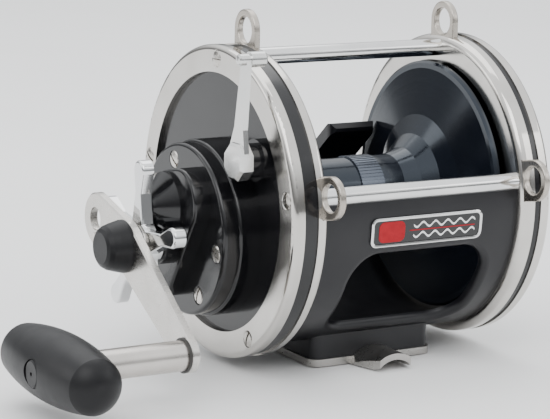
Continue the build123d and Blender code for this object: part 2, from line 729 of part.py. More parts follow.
ADDENDUM = 0.8 * MODULE
DEDENDUM = 1.0 * MODULE
BACKLASH = 0.10
MAIN_PITCH_R = MODULE * MAIN_TEETH / 2
PINION_PITCH_R = MODULE * PINION_TEETH / 2
main_tooth_angle = (math.pi * MODULE / 2 - BACKLASH) / MAIN_PITCH_R
pinion_tooth_angle = (math.pi * MODULE / 2 - BACKLASH) / PINION_PITCH_R
UP = math.pi / 2
# The main gear has a gap straight up, where the pinion has a tooth straight down
main_turn = UP + math.pi / MAIN_TEETH
MAIN_X = (-68.0, -60.5)
DRAG_R = 8.2
SLEEVE_BORE_R = 3.0

with BuildPart() as main_gear:
    with BuildSketch(face_plane(MAIN_X[0], GEAR)):
        with BuildLine():
            outline = involute_outline(
                MAIN_TEETH, main_tooth_angle, MAIN_PITCH_R - DEDENDUM, MAIN_PITCH_R + ADDENDUM, main_turn
            )
            Polyline(*outline, close=True)
        make_face()
        Circle(SLEEVE_R + RUN, mode=Mode.SUBTRACT)
    extrude(amount=MAIN_X[1] - MAIN_X[0])
    with BuildSketch(face_plane(MAIN_X[0], GEAR)):
        Circle(DRAG_R)
        Circle(SLEEVE_R + RUN, mode=Mode.SUBTRACT)
    extrude(amount=5.0, mode=Mode.SUBTRACT)
save(main_gear, "main_gear")

# The drag stack fills the main gear's recess: fibre and metal washers in turn
WASHER = 1.0
fibre_solids = []
metal_solids = []
for layer in range(5):
    washer_x = MAIN_X[0] + layer * WASHER
    washer = tube(washer_x, washer_x + WASHER, SLEEVE_R + RUN, DRAG_R - RUN, GEAR)
    (metal_solids if layer % 2 else fibre_solids).append(washer.part)
with BuildPart() as drag_fibre_washers:
    add(fibre_solids)
save(drag_fibre_washers, "drag_fibre_washers")
with BuildPart() as drag_metal_washers:
    add(metal_solids)
save(drag_metal_washers, "drag_metal_washers")
save(tube(-72.0, MAIN_X[0], SLEEVE_R + RUN, 7.4, GEAR), "pressure_washer")

STUD_R = SLEEVE_BORE_R - RUN
SLEEVE_OUT_X = -104.5
with BuildPart() as gear_sleeve:
    with BuildSketch(face_plane(SLEEVE_OUT_X, GEAR)):
        Circle(SLEEVE_R)
    extrude(amount=-56.6 - SLEEVE_OUT_X)
    with BuildSketch(face_plane(-85.0, GEAR)):
        Circle(SLEEVE_BORE_R)
    extrude(amount=40, mode=Mode.SUBTRACT)
save(gear_sleeve, "gear_sleeve")

RATCHET_TEETH = 12
RATCHET_X = (-59.6, -58.0)
RATCHET_R = 9.0
ratchet_points = []
for tooth in range(RATCHET_TEETH):
    tooth_start = 360 / RATCHET_TEETH * tooth - 16
    ratchet_points.append(polar(RATCHET_R, tooth_start))
    ratchet_points.append(polar(RATCHET_R, tooth_start + 5))
    ratchet_points.append(polar(RATCHET_R - 1.6, tooth_start + 24))
with BuildPart() as ratchet_wheel:
    with BuildSketch(face_plane(RATCHET_X[0], GEAR)):
        with BuildLine():
            Polyline(*ratchet_points, close=True)
        make_face()
        Circle(SLEEVE_R, mode=Mode.SUBTRACT)
    extrude(amount=RATCHET_X[1] - RATCHET_X[0])
save(ratchet_wheel, "ratchet_wheel")

# Pinion: teeth, a hub through the bridge, a groove for the jack and a slotted head
HEAD_X = (-48.4, -45.2)
GROOVE_X = (-50.6, -48.4)
with BuildPart() as pinion:
    with BuildSketch(face_plane(-68.0)):
        with BuildLine():
            outline = involute_outline(
                PINION_TEETH, pinion_tooth_angle, PINION_PITCH_R - DEDENDUM,
                PINION_PITCH_R + ADDENDUM, -UP,
            )
            Polyline(*outline, close=True)
        make_face()
    extrude(amount=9.0)
    with BuildSketch(face_plane(-59.0)):
        Circle(3.9)
    extrude(amount=GROOVE_X[0] + 59.0)
    with BuildSketch(face_plane(GROOVE_X[0] - 3.0)):
        Circle(5.2)
    extrude(amount=3.0)
    with BuildSketch(face_plane(GROOVE_X[0])):
        Circle(3.7)
    extrude(amount=GROOVE_X[1] - GROOVE_X[0])
    with BuildSketch(face_plane(HEAD_X[0])):
        Circle(6.0)
    extrude(amount=HEAD_X[1] - HEAD_X[0])
    with BuildSketch(face_plane(HEAD_X[0] + 1.0)):
        Rectangle(14, 2.6)
    extrude(amount=5, mode=Mode.SUBTRACT)
    with BuildSketch(face_plane(-68.0)):
        Circle(SHAFT_END_R + RUN)
    extrude(amount=30, mode=Mode.SUBTRACT)
save(pinion, "pinion")

# Bridge plate, with the posts that guide the jack
BRIDGE_X = (-56.0, -54.2)
BRIDGE_R = 29.0
GUIDES = ((-15.0, AXLE_Z + 2.0), (15.0, AXLE_Z + 2.0))
GUIDE_R = 1.6
DOG = (12.0, AXLE_Z - 24.0)
with BuildPart() as bridge_plate:
    with BuildSketch(face_plane(BRIDGE_X[0], HOUSING)):
        Circle(BRIDGE_R)
        with Locations((0, SPOOL[1] - HOUSING[1])):
            Circle(6.8, mode=Mode.SUBTRACT)
        with Locations((0, GEAR[1] - HOUSING[1])):
            Circle(STUD_R, mode=Mode.SUBTRACT)
        with Locations(*[(y - HOUSING[0], z - HOUSING[1]) for y, z in bridge_screw_centres]):
            Circle(1.3, mode=Mode.SUBTRACT)
    extrude(amount=BRIDGE_X[1] - BRIDGE_X[0])
    for guide in GUIDES:
        with BuildSketch(face_plane(BRIDGE_X[1], guide)):
            Circle(GUIDE_R)
        extrude(amount=7.5)
save(bridge_plate, "bridge_plate")

bridge_screw_solids = []
for centre in bridge_screw_centres:
    bridge_screw_solids.append(turned(
        [(-63.5, 0), (-63.5, 1.3), (BRIDGE_X[1], 1.3), (BRIDGE_X[1], 2.4), (-53.0, 2.4), (-53.0, 0)],
        centre,
    ).part)
with BuildPart() as bridge_screws:
    add(bridge_screw_solids)
save(bridge_screws, "bridge_screws")

save(turned([
    (-84.6, 0), (-84.6, STUD_R), (BRIDGE_X[1], STUD_R), (BRIDGE_X[1], 5.0), (-52.8, 5.0), (-52.8, 0),
], GEAR), "gear_stud")

# Jack: the yoke that draws the pinion out of the spool
JACK_X = (-50.4, -48.6)
with BuildPart() as jack:
    with BuildSketch(face_plane(JACK_X[0])):
        with Locations((0, 2)):
            RectangleRounded(38, 9, 4)
        with Locations((-20, 12)):
            Rectangle(13, 5, rotation=-42)
        with Locations((0, -1.5)):
            Rectangle(16, 9)
        Circle(3.7 + RUN, mode=Mode.SUBTRACT)
        with Locations((0, -5)):
            Rectangle(2 * (3.7 + RUN), 10, mode=Mode.SUBTRACT)
        with Locations(*[(y, z - AXLE_Z) for y, z in GUIDES]):
            Circle(GUIDE_R + RUN, mode=Mode.SUBTRACT)
    extrude(amount=JACK_X[1] - JACK_X[0])
save(jack, "jack")

# Anti-reverse dog, standing just clear of the ratchet, and its leaf spring
with BuildPart() as dog:
    with BuildSketch(face_plane(RATCHET_X[0] + 0.1, DOG)):
        Circle(2.6)
        with BuildLine():
            Polyline((-2.4, 0.6), (-2.8, 10.8), (2.4, 0.8), close=True)
        make_face()
        Circle(1.3 + RUN, mode=Mode.SUBTRACT)
    extrude(amount=1.4)
save(dog, "dog")
save(turned([
    (-61.0, 0), (-61.0, 2.4), (-60.0, 2.4), (-60.0, 1.3), (BRIDGE_X[0], 1.3), (BRIDGE_X[0], 0),
], DOG), "dog_pivot")
with BuildPart() as dog_spring:
    with BuildSketch(face_plane(-57.6, DOG)):
        with Locations((4.6, 6.0)):
            Rectangle(0.5, 9.0, rotation=18)
        with Locations((3.2, 10.2)):
            Rectangle(2.4, 1.6)
    extrude(amount=1.6)
save(dog_spring, "dog_spring")

# ---------------------------------------------------------------- star wheel and crank
STAR_X = (-97.0, -92.0)
STAR_REACH = 34.5
STAR_FIRST = 92.5
STAR_NECK_R = 2.5
STAR_TIP_R = 4.2

save(tube(-91.8, COLLAR_X - 0.2, SLEEVE_R + RUN, 7.6, GEAR), "spacer_sleeve")

with BuildPart() as star_wheel:
    with BuildSketch(face_plane(STAR_X[0], GEAR)):
        Circle(10.5)
        for arm in range(5):
            angle = STAR_FIRST + 72 * arm
            neck = polar(STAR_REACH * 0.62, angle)
            tip = polar(STAR_REACH - STAR_TIP_R, angle)
            add(flat_link((0, 0), 6.2, neck, STAR_NECK_R))
            add(flat_link(neck, STAR_NECK_R, tip, STAR_TIP_R))
        Circle(SLEEVE_R + RUN, mode=Mode.SUBTRACT)
    extrude(amount=STAR_X[1] - STAR_X[0])
    fillet(star_wheel.edges().group_by(Axis.X)[0].filter_by(lambda e: e.length > 0.2), 1.1)
save(star_wheel, "star_wheel")

save(tube(-99.0, -97.2, SLEEVE_R + RUN, 8.0, GEAR), "arm_washer")

ARM_X = (-102.5, -99.2)
ARM_END_R = 7.0
ARM_HUB_R = 10.5
ARM_TAIL = (25.5, AXLE_Z - 8.5)
ARM_TAIL_R = 11.0
ARM_HOLE_R = 4.8
LOCK_SCREW = (26.0, AXLE_Z - 16.2)


with BuildPart() as crank_arm:
    with BuildSketch(face_plane(ARM_X[0])):
        add(link(ARM_TAIL, ARM_TAIL_R, GEAR, ARM_HUB_R))
        add(link(GEAR, ARM_HUB_R, POST, ARM_END_R))
        with Locations((GEAR[0], GEAR[1] - AXLE_Z)):
            Circle(SLEEVE_R, mode=Mode.SUBTRACT)
        with Locations((ARM_TAIL[0] + 0.4, ARM_TAIL[1] - AXLE_Z + 0.2)):
            Circle(ARM_HOLE_R, mode=Mode.SUBTRACT)
        with Locations((LOCK_SCREW[0], LOCK_SCREW[1] - AXLE_Z)):
            Circle(1.3, mode=Mode.SUBTRACT)
        with Locations((POST[0], POST[1] - AXLE_Z)):
            Circle(4.0, mode=Mode.SUBTRACT)
    extrude(amount=ARM_X[1] - ARM_X[0])
    outer_edges = crank_arm.faces().sort_by(Axis.X)[0].outer_wire().edges()
    chamfer(outer_edges, 0.6)
save(crank_arm, "crank_arm")

save(turned([
    (-103.4, 0), (-103.4, 2.2), (ARM_X[0], 2.2), (ARM_X[0], 1.3), (ARM_X[1], 1.3), (ARM_X[1], 0),
], LOCK_SCREW), "lock_screw")

with BuildPart() as crank_nut:
    with BuildSketch(face_plane(-107.5, GEAR)):
        RegularPolygon(8.0, 6)
    extrude(amount=ARM_X[0] + 107.5)
    with BuildSketch(face_plane(SLEEVE_OUT_X, GEAR)):
        Circle(SLEEVE_R)
    extrude(amount=ARM_X[0] - SLEEVE_OUT_X, mode=Mode.SUBTRACT)
save(crank_nut, "crank_nut")

NUT_CAP_X = -113.0
save(turned([
    (NUT_CAP_X, 0), (NUT_CAP_X, 6.4), (NUT_CAP_X + 0.9, 7.8), (NUT_CAP_X + 2.6, 8.9),
    (NUT_CAP_X + 5.2, 9.7), (ARM_X[0] - 1.2, 10.7), (ARM_X[0], 10.7), (ARM_X[0], 8.1),
    (-107.6, 8.1), (-107.6, 0),
], GEAR), "nut_cap")

POST_R = 4.0
SLEEVE_END_X = -139.3
POST_WASHER_X = -103.5
save(turned([
    (GRIP_X - 9, 0), (GRIP_X - 9, 5.2), (GRIP_X - 7.4, 5.2), (GRIP_X - 7.4, POST_R), (ARM_X[1], POST_R), (ARM_X[1], 0),
], POST), "grip_post")
save(tube(POST_WASHER_X, ARM_X[0], POST_R, 6.9, POST), "post_washer")
save(tube(SLEEVE_END_X, POST_WASHER_X, POST_R, 6.0, POST), "post_sleeve")

# ---------------------------------------------------------------- torpedo grip
GRIP_LENGTH = 72.4
GRIP_R = 13.7
GRIP_CAP = 30.6                # where the round ends start
GRIP_CAP_R = 10.7
GRIP_Y = POST[0] + 3.2
grip_end = GRIP_LENGTH / 2
grip_centre = (GRIP_X, GRIP_Y, POST[1])
with BuildPart() as grip:
    with BuildSketch(Plane(origin=grip_centre, x_dir=(0, -1, 0), z_dir=(0, 0, 1))):
        with BuildLine():
            Line((-grip_end, 0), (grip_end, 0))
            Line((grip_end, 0), (grip_end, 2))
            ThreePointArc((grip_end, 2), (grip_end - 1.4, 6.6), (GRIP_CAP, GRIP_CAP_R))
            ThreePointArc((GRIP_CAP, GRIP_CAP_R), (0, GRIP_R), (-GRIP_CAP, GRIP_CAP_R))
            ThreePointArc((-GRIP_CAP, GRIP_CAP_R), (1.4 - grip_end, 6.6), (-grip_end, 2))
            Line((-grip_end, 2), (-grip_end, 0))
        make_face()
    revolve(axis=Axis(grip_centre, (0, -1, 0)))
    with BuildSketch(face_plane(GRIP_X - 17, POST)):
        Circle(5.6)
    extrude(amount=9.6, mode=Mode.SUBTRACT)
    with BuildSketch(face_plane(GRIP_X - 8, POST)):
        Circle(POST_R + RUN)
    extrude(amount=25, mode=Mode.SUBTRACT)
save(grip, "grip")
save(turned([
    (GRIP_X - 13.2, 0.8), (GRIP_X - 13.2, 4.8), (GRIP_X - 12.6, 5.35), (GRIP_X - 11, 5.35),
    (GRIP_X - 11, 5.6), (GRIP_X - 9.2, 5.6), (GRIP_X - 9.2, 0), (GRIP_X - 11, 0), (GRIP_X - 11, 0.8),
], POST), "grip_plug")

# ---------------------------------------------------------------- free-spool lever
LEVER_HUB_X = (-74.0, -68.4)
save(turned([
    (-68.3, 2.5 + RUN), (-68.3, 6.8), (-64.0, 6.8), (-64.0, 8.4), (H_PLATE_X, 8.4),
    (H_PLATE_X, BUSHING_R), (PLATE_BACK_X, BUSHING_R), (PLATE_BACK_X, 2.5 + RUN),
], LEVER), "lever_bushing")

KNOB = (-41.5, AXLE_Z + 63.5)
LEVER_ARM_X = -72.2
LEVER_ARM_THICK = 2.2
LEVER_FLARE = (-38.0, AXLE_Z + 36.0)
with BuildPart() as lever:
    with BuildSketch(face_plane(LEVER_HUB_X[0], LEVER)):
        RegularPolygon(7.9, 8, rotation=22.5)
    extrude(amount=LEVER_HUB_X[1] - LEVER_HUB_X[0])
    chamfer(lever.faces().sort_by(Axis.X)[0].edges(), 1.2)
    with BuildSketch(face_plane(LEVER_ARM_X)):
        add(link(LEVER, 4.0, KNOB, 2.3))
        add(link(LEVER, 7.0, LEVER_FLARE, 3.4))
    extrude(amount=LEVER_ARM_THICK)
    with BuildSketch(face_plane(LEVER_HUB_X[1], LEVER)):
        Circle(2.5)
    extrude(amount=-53.4 - LEVER_HUB_X[1])
    with BuildSketch(face_plane(LEVER_ARM_X, KNOB)):
        Circle(1.2)
    extrude(amount=LEVER_ARM_THICK, mode=Mode.SUBTRACT)
save(lever, "lever")

with BuildPart() as lever_knob:
    with BuildSketch(axis_plane(KNOB)):
        with BuildLine():
            Polyline(
                (-75.2, 0), (-75.0, 1.6), (-74.4, 2.3), (LEVER_ARM_X, 2.3), (LEVER_ARM_X, 1.2),
                (LEVER_ARM_X + LEVER_ARM_THICK, 1.2), (LEVER_ARM_X + LEVER_ARM_THICK, 3.1),
                (-63.8, 3.1), (-63.0, 2.3), (-63.0, 0), close=True,
            )
        make_face()
    revolve(axis=turn_axis(KNOB))
save(lever_knob, "lever_knob")

# The cam on the lever's inner end lifts the jack
with BuildPart() as lever_cam:
    with BuildSketch(face_plane(PLATE_BACK_X + 0.1, LEVER)):
        Circle(5.5)
        with Locations((6, -4)):
            Circle(2.6)
        Circle(2.5, mode=Mode.SUBTRACT)
    extrude(amount=1.6)
save(lever_cam, "lever_cam")

# ---------------------------------------------------------------- click
with BuildPart() as click_button:
    with BuildSketch(face_plane(T_PLATE_X + 0.1, TAIL_CLICK)):
        Circle(4.2)
    extrude(amount=2.6)
    fillet(click_button.edges().group_by(Axis.X)[-1], 0.8)
    with BuildSketch(face_plane(T_OUTER_X - 0.4, TAIL_CLICK)):
        Circle(2.0)
    extrude(amount=T_PLATE_X + 0.2 - T_OUTER_X + 0.4)
save(click_button, "click_button")

with BuildPart() as click_tongue:
    with BuildSketch(face_plane(47.0, TONGUE)):
        Circle(2.4)
        with Locations((-5.2, 0)):
            Rectangle(9.0, 2.0)
        with Locations((3.2, 0)):
            Rectangle(3.4, 3.0)
        Circle(1.2 + RUN, mode=Mode.SUBTRACT)
    extrude(amount=1.2)
save(click_tongue, "click_tongue")
save(turned([
    (46.2, 0), (46.2, 2.2), (46.9, 2.2), (46.9, 1.2), (T_OUTER_X, 1.2), (T_OUTER_X, 0),
], TONGUE), "tongue_pivot")
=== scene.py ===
import math

import bmesh
import bpy
from mathutils import Matrix, Vector


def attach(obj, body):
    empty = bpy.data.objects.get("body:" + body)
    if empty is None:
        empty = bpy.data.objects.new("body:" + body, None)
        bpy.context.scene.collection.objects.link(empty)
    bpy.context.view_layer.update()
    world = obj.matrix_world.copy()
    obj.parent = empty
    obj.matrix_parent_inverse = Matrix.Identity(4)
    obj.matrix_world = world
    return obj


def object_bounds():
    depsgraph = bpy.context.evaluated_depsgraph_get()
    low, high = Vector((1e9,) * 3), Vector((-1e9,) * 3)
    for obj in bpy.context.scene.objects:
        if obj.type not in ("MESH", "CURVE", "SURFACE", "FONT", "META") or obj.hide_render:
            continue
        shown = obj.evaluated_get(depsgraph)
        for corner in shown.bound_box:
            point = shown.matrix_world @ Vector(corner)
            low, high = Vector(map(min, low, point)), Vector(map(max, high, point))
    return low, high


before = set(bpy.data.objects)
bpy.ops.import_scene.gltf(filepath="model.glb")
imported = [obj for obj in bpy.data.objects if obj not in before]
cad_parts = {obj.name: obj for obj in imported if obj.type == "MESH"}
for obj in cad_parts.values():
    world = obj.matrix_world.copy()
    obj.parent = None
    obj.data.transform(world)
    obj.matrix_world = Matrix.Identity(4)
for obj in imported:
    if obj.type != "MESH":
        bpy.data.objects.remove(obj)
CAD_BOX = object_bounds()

# ---------------------------------------------------------------- sizes, in metres
MM = 0.001
AXLE_Z = 67 * MM                # spool axis above the foot
GEAR_Z = 52.2 * MM              # crank axis above the foot
SHELL_R = 60 * MM               # outside of the frame shell
TAIL_FACE_X = 58.4 * MM         # face of the tail plate inside its ring
BEAD_INNER_R, BEAD_OUTER_R = 61.2 * MM, 62.2 * MM   # where a ring's turned face gives way to its bead


# ---------------------------------------------------------------- node helpers
class Nodes:
    """A material's node tree, with short calls for the nodes used here."""

    def __init__(self, name):
        self.material = bpy.data.materials.new(name)
        self.material.use_nodes = True
        self.tree = self.material.node_tree
        self.shader = self.tree.nodes["Principled BSDF"]
        self.place = self.add("ShaderNodeTexCoord").outputs["Object"]

    def add(self, kind):
        return self.tree.nodes.new(kind)

    def link(self, source, target):
        self.tree.links.new(source, target)

    def math(self, operation, a, b=None):
        node = self.add("ShaderNodeMath")
        node.operation = operation
        for socket, value in zip(node.inputs, (a, b)):
            if value is None:
                continue
            if isinstance(value, (int, float)):
                socket.default_value = value
            else:
                self.link(value, socket)
        return node.outputs[0]

    def noise(self, vector, scale, detail=3.0, rough=0.55):
        node = self.add("ShaderNodeTexNoise")
        node.inputs["Scale"].default_value = scale
        node.inputs["Detail"].default_value = detail
        node.inputs["Roughness"].default_value = rough
        self.link(vector, node.inputs["Vector"])
        return node.outputs["Fac"]

    def stretch(self, vector, factors):
        node = self.add("ShaderNodeMapping")
        node.inputs["Scale"].default_value = factors
        self.link(vector, node.inputs["Vector"])
        return node.outputs["Vector"]

    def turned(self, y0, z0, along=0.0):
        """Coordinates of a turned face: the distance from an axis along X, in metres."""
        parts = self.add("ShaderNodeSeparateXYZ")
        self.link(self.place, parts.inputs[0])
        y = self.math("SUBTRACT", parts.outputs["Y"], y0)
        z = self.math("SUBTRACT", parts.outputs["Z"], z0)
        radius = self.math("SQRT", self.math("ADD", self.math("MULTIPLY", y, y), self.math("MULTIPLY", z, z)))
        join = self.add("ShaderNodeCombineXYZ")
        self.link(radius, join.inputs["X"])
        self.link(self.math("MULTIPLY", parts.outputs["X"], along), join.inputs["Y"])
        return join.outputs[0]

    def range(self, value, low, high):
        node = self.add("ShaderNodeMapRange")
        node.inputs["From Min"].default_value = 0.3
        node.inputs["From Max"].default_value = 0.7
        node.inputs["To Min"].default_value = low
        node.inputs["To Max"].default_value = high
        self.link(value, node.inputs["Value"])
        return node.outputs["Result"]

    def blend(self, factor, a, b):
        node = self.add("ShaderNodeMix")
        node.data_type = "RGBA"
        self.link(factor, node.inputs["Factor"])
        node.inputs["A"].default_value = (*a, 1)
        node.inputs["B"].default_value = (*b, 1)
        return node.outputs["Result"]

    def bump(self, height, distance, strength=1.0):
        node = self.add("ShaderNodeBump")
        node.inputs["Distance"].default_value = distance
        node.inputs["Strength"].default_value = strength
        self.link(height, node.inputs["Height"])
        self.link(node.outputs["Normal"], self.shader.inputs["Normal"])


def metal(name, dark, light, rough, vector_of, grain_scale, bump_mm=0.01, rough_spread=0.08):
    """A bare metal with grain along vector_of's coordinates and faint blotches."""
    nodes = Nodes(name)
    grain = nodes.noise(vector_of(nodes), grain_scale, 4.0, 0.7)
    blotch = nodes.noise(nodes.place, 60.0, 2.0)
    nodes.link(nodes.blend(nodes.range(blotch, 0.0, 1.0), dark, light), nodes.shader.inputs["Base Color"])
    nodes.shader.inputs["Metallic"].default_value = 1.0
    spread = nodes.math("ADD", nodes.range(grain, 0.0, rough_spread), nodes.range(blotch, 0.0, 0.05))
    nodes.link(nodes.math("ADD", spread, rough), nodes.shader.inputs["Roughness"])
    nodes.bump(grain, bump_mm * MM)
    return nodes.material


def about_spool(nodes):
    return nodes.turned(0.0, AXLE_Z, 0.4)


def about_crank(nodes):
    return nodes.turned(0.0, GEAR_Z, 0.4)


def tumbled(nodes):
    return nodes.place


def along_arm(nodes):
    return nodes.stretch(nodes.place, (0.2, 0.25, 1.0))


def along_x(nodes):
    return nodes.stretch(nodes.place, (0.06, 1.0, 1.0))


def black(name, base, lift, rough, coat, bump_scale, bump_mm, specular=0.5):
    """A black finish: faint cloudiness, uneven gloss and a fine texture."""
    nodes = Nodes(name)
    cloud = nodes.noise(nodes.place, 45.0, 3.0)
    nodes.link(nodes.blend(nodes.range(cloud, 0.0, 1.0), base, lift), nodes.shader.inputs["Base Color"])
    smudge = nodes.noise(nodes.place, 140.0, 2.0)
    nodes.link(nodes.range(smudge, rough, rough + 0.07), nodes.shader.inputs["Roughness"])
    nodes.shader.inputs["Specular IOR Level"].default_value = specular
    nodes.shader.inputs["Coat Weight"].default_value = coat
    nodes.shader.inputs["Coat Roughness"].default_value = 0.06
    nodes.bump(nodes.noise(nodes.place, bump_scale, 3.0), bump_mm * MM)
    return nodes.material


def ring_steel():
    """Side rings: a finely turned face inside a mirror-polished bead."""
    nodes = Nodes("ring_steel")
    grain = nodes.noise(about_spool(nodes), 2200.0, 4.0, 0.7)
    blotch = nodes.noise(nodes.place, 60.0, 2.0)
    tone = nodes.blend(nodes.range(blotch, 0.0, 1.0), STEEL_DARK, STEEL_LIGHT)
    nodes.link(tone, nodes.shader.inputs["Base Color"])
    nodes.shader.inputs["Metallic"].default_value = 1.0
    parts = nodes.add("ShaderNodeSeparateXYZ")
    nodes.link(nodes.turned(0.0, AXLE_Z), parts.inputs[0])
    polish = nodes.add("ShaderNodeMapRange")
    polish.inputs["From Min"].default_value = BEAD_INNER_R
    polish.inputs["From Max"].default_value = BEAD_OUTER_R
    polish.inputs["To Min"].default_value = 0.17
    polish.inputs["To Max"].default_value = 0.07
    nodes.link(parts.outputs["X"], polish.inputs["Value"])
    spread = nodes.math("ADD", nodes.range(grain, 0.0, 0.05), polish.outputs["Result"])
    nodes.link(spread, nodes.shader.inputs["Roughness"])
    nodes.bump(grain, 0.0003 * MM)
    return nodes.material


def spool_black():
    """Dark anodised aluminium with fine turning marks about the spool's axis."""
    nodes = Nodes("spool_anodised")
    marks = nodes.noise(about_spool(nodes), 1400.0, 3.0, 0.7)
    cloud = nodes.noise(nodes.place, 30.0)
    nodes.link(
        nodes.blend(nodes.range(cloud, 0, 1), (0.004, 0.005, 0.008), (0.008, 0.010, 0.015)),
        nodes.shader.inputs["Base Color"],
    )
    nodes.link(nodes.range(marks, 0.12, 0.2), nodes.shader.inputs["Roughness"])
    nodes.shader.inputs["Specular Tint"].default_value = (0.72, 0.85, 1.0, 1)
    nodes.shader.inputs["Coat Weight"].default_value = 0.15
    nodes.shader.inputs["Coat Roughness"].default_value = 0.12
    nodes.bump(marks, 0.004 * MM)
    return nodes.material


def floor_material():
    nodes = Nodes("studio_floor")
    tone = nodes.range(nodes.noise(nodes.place, 3.0), 0.0, 1.0)
    nodes.link(nodes.blend(tone, (0.90, 0.90, 0.90), (0.93, 0.93, 0.925)), nodes.shader.inputs["Base Color"])
    nodes.shader.inputs["Roughness"].default_value = 0.7
    return nodes.material


def enamel(name, low, high):
    nodes = Nodes(name)
    tone = nodes.range(nodes.noise(nodes.place, 400.0), 0.0, 1.0)
    nodes.link(nodes.blend(tone, low, high), nodes.shader.inputs["Base Color"])
    nodes.shader.inputs["Roughness"].default_value = 0.35
    nodes.shader.inputs["Specular IOR Level"].default_value = 0.2
    return nodes.material


# Steel tones of the rings. A metal's figures are its dark and light tones, roughness, direction of
# grain, grain per metre and grain height in millimetres
STEEL_DARK, STEEL_LIGHT = (0.56, 0.54, 0.51), (0.64, 0.62, 0.59)
materials = {
    "ring_steel": ring_steel(),
    "screw_steel": metal("screw_steel", (0.46, 0.44, 0.41), (0.66, 0.63, 0.59), 0.2, tumbled, 900.0, 0.003),
    "chrome": metal("chrome", (0.72, 0.73, 0.74), (0.80, 0.80, 0.80), 0.05, about_crank, 900.0, 0.002, 0.03),
    "bar_chrome": metal(
        "bar_chrome", (0.70, 0.70, 0.70), (0.78, 0.78, 0.77), 0.07, along_x, 1800.0,
        0.003, 0.04
    ),
    "post_steel": metal("post_steel", (0.52, 0.49, 0.46), (0.60, 0.57, 0.54), 0.22, along_x, 900.0, 0.0003),
    "arm_steel": metal("arm_steel", (0.56, 0.54, 0.51), (0.66, 0.64, 0.61), 0.2, along_arm, 500.0, 0.0001),
    "foot_steel": metal("foot_steel", (0.42, 0.41, 0.39), (0.52, 0.50, 0.48), 0.24, tumbled, 500.0, 0.0002),
    "lug_steel": metal("lug_steel", (0.40, 0.37, 0.33), (0.52, 0.48, 0.43), 0.22, tumbled, 1200.0, 0.002),
    "lever_chrome": metal(
        "lever_chrome", (0.64, 0.64, 0.63), (0.72, 0.72, 0.71), 0.12, tumbled, 1000.0,
        0.001
    ),
    "bearing_steel": metal(
        "bearing_steel", (0.60, 0.60, 0.60), (0.68, 0.68, 0.68), 0.15, about_spool,
        1500.0, 0.004
    ),
    "gear_brass": metal(
        "gear_brass", (0.62, 0.42, 0.14), (0.72, 0.52, 0.20), 0.26, about_crank,
        1800.0, 0.008
    ),
    "plate_black": black(
        "plate_black", (0.004, 0.004, 0.005), (0.008, 0.008, 0.009), 0.10, 0.0, 500.0,
        0.002
    ),
    "frame_black": black(
        "frame_black", (0.005, 0.005, 0.007), (0.009, 0.009, 0.011), 0.30, 0.0, 2400.0,
        0.008, 0.4
    ),
    "rubber": black("rubber", (0.005, 0.005, 0.006), (0.009, 0.009, 0.010), 0.36, 0.0, 2600.0, 0.02, 0.25),
    "washer_black": black("washer_black", (0.012, 0.011, 0.01), (0.03, 0.026, 0.022), 0.4, 0.0, 1500.0, 0.02),
    "fibre": enamel("drag_fibre", (0.16, 0.10, 0.05), (0.26, 0.17, 0.09)),
    "name_black": black("name_black", (0.003, 0.003, 0.004), (0.006, 0.006, 0.007), 0.08, 0.2, 800.0, 0.002),
    "badge_red": enamel("badge_red", (0.30, 0.004, 0.010), (0.38, 0.008, 0.016)),
    "spool": spool_black(),
    "knurl": metal("knurl", (0.10, 0.115, 0.14), (0.14, 0.155, 0.185), 0.2, along_x, 1500.0, 0.006),
}

NODE_MATERIALS = {
    "ring_steel": "outer_ring_crank outer_ring_tail inner_ring_crank inner_ring_tail",
    "foot_steel": "foot_plate",
    "screw_steel": "ring_screws_crank ring_screws_tail cover_screws bridge_screws foot_screws lock_screw "
    "dog dog_pivot dog_spring click_tongue tongue_pivot jack lever_cam crank_nut click_ratchet ratchet_wheel",
    "chrome": "star_wheel spacer_sleeve",
    "post_steel": "post_sleeve grip_post",
    "bar_chrome": "top_bar front_bar",
    "knurl": "arbor_band",
    "arm_steel": "crank_arm arm_washer",
    "lug_steel": "harness_lugs",
    "lever_chrome": "lever lever_knob",
    "bearing_steel": "bearing_inner_races bearing_outer_races bearing_balls spool_shaft gear_sleeve "
    "gear_stud "
    "pressure_washer drag_metal_washers",
    "gear_brass": "main_gear pinion bridge_plate",
    "plate_black": "side_plate_crank side_plate_tail gear_cover bearing_cap tail_cap lever_bushing "
    "click_button",
    "frame_black": "frame_shell",
    "rubber": "grip grip_plug nut_cap",
    "washer_black": "post_washer",
    "fibre": "drag_fibre_washers",
    "name_black": "nameplate",
    "spool": "spool",
}

# Rounded edges catch the light: widths in millimetres, the rest take the default
EDGE_DEFAULT = 0.25
EDGE_WIDTHS = {
    "frame_shell": 1.1, "star_wheel": 0.6, "lever": 0.6, "crank_arm": 0.5, "harness_lugs": 0.5,
    "foot_plate": 0.8, "gear_cover": 0.5, "side_plate_crank": 0.5, "spool": 0.5, "bearing_cap": 0.5,
}
NO_ROUNDING = ("bearing_balls", "grip", "nameplate", "arbor_band")


def dress_node(name, material):
    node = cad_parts[name]
    node.data.materials.clear()
    node.data.materials.append(material)
    if name in NO_ROUNDING:
        return
    rounding = node.modifiers.new("rounding", "BEVEL")
    rounding.width = EDGE_WIDTHS.get(name, EDGE_DEFAULT) * MM
    rounding.segments = 3
    rounding.limit_method = "ANGLE"
    rounding.angle_limit = math.radians(38)
    rounding.harden_normals = False


for material_name, node_names in NODE_MATERIALS.items():
    for node_name in node_names.split():
        dress_node(node_name, materials[material_name])


# ---------------------------------------------------------------- mesh helpers
def piece(name, mesh_data, material, body):
    mesh = bpy.data.meshes.new(name)
    mesh_data.to_mesh(mesh)
    mesh_data.free()
    made = bpy.data.objects.new(name, mesh)
    bpy.context.scene.collection.objects.link(made)
    mesh.materials.append(materials[material])
    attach(made, body)
    return made


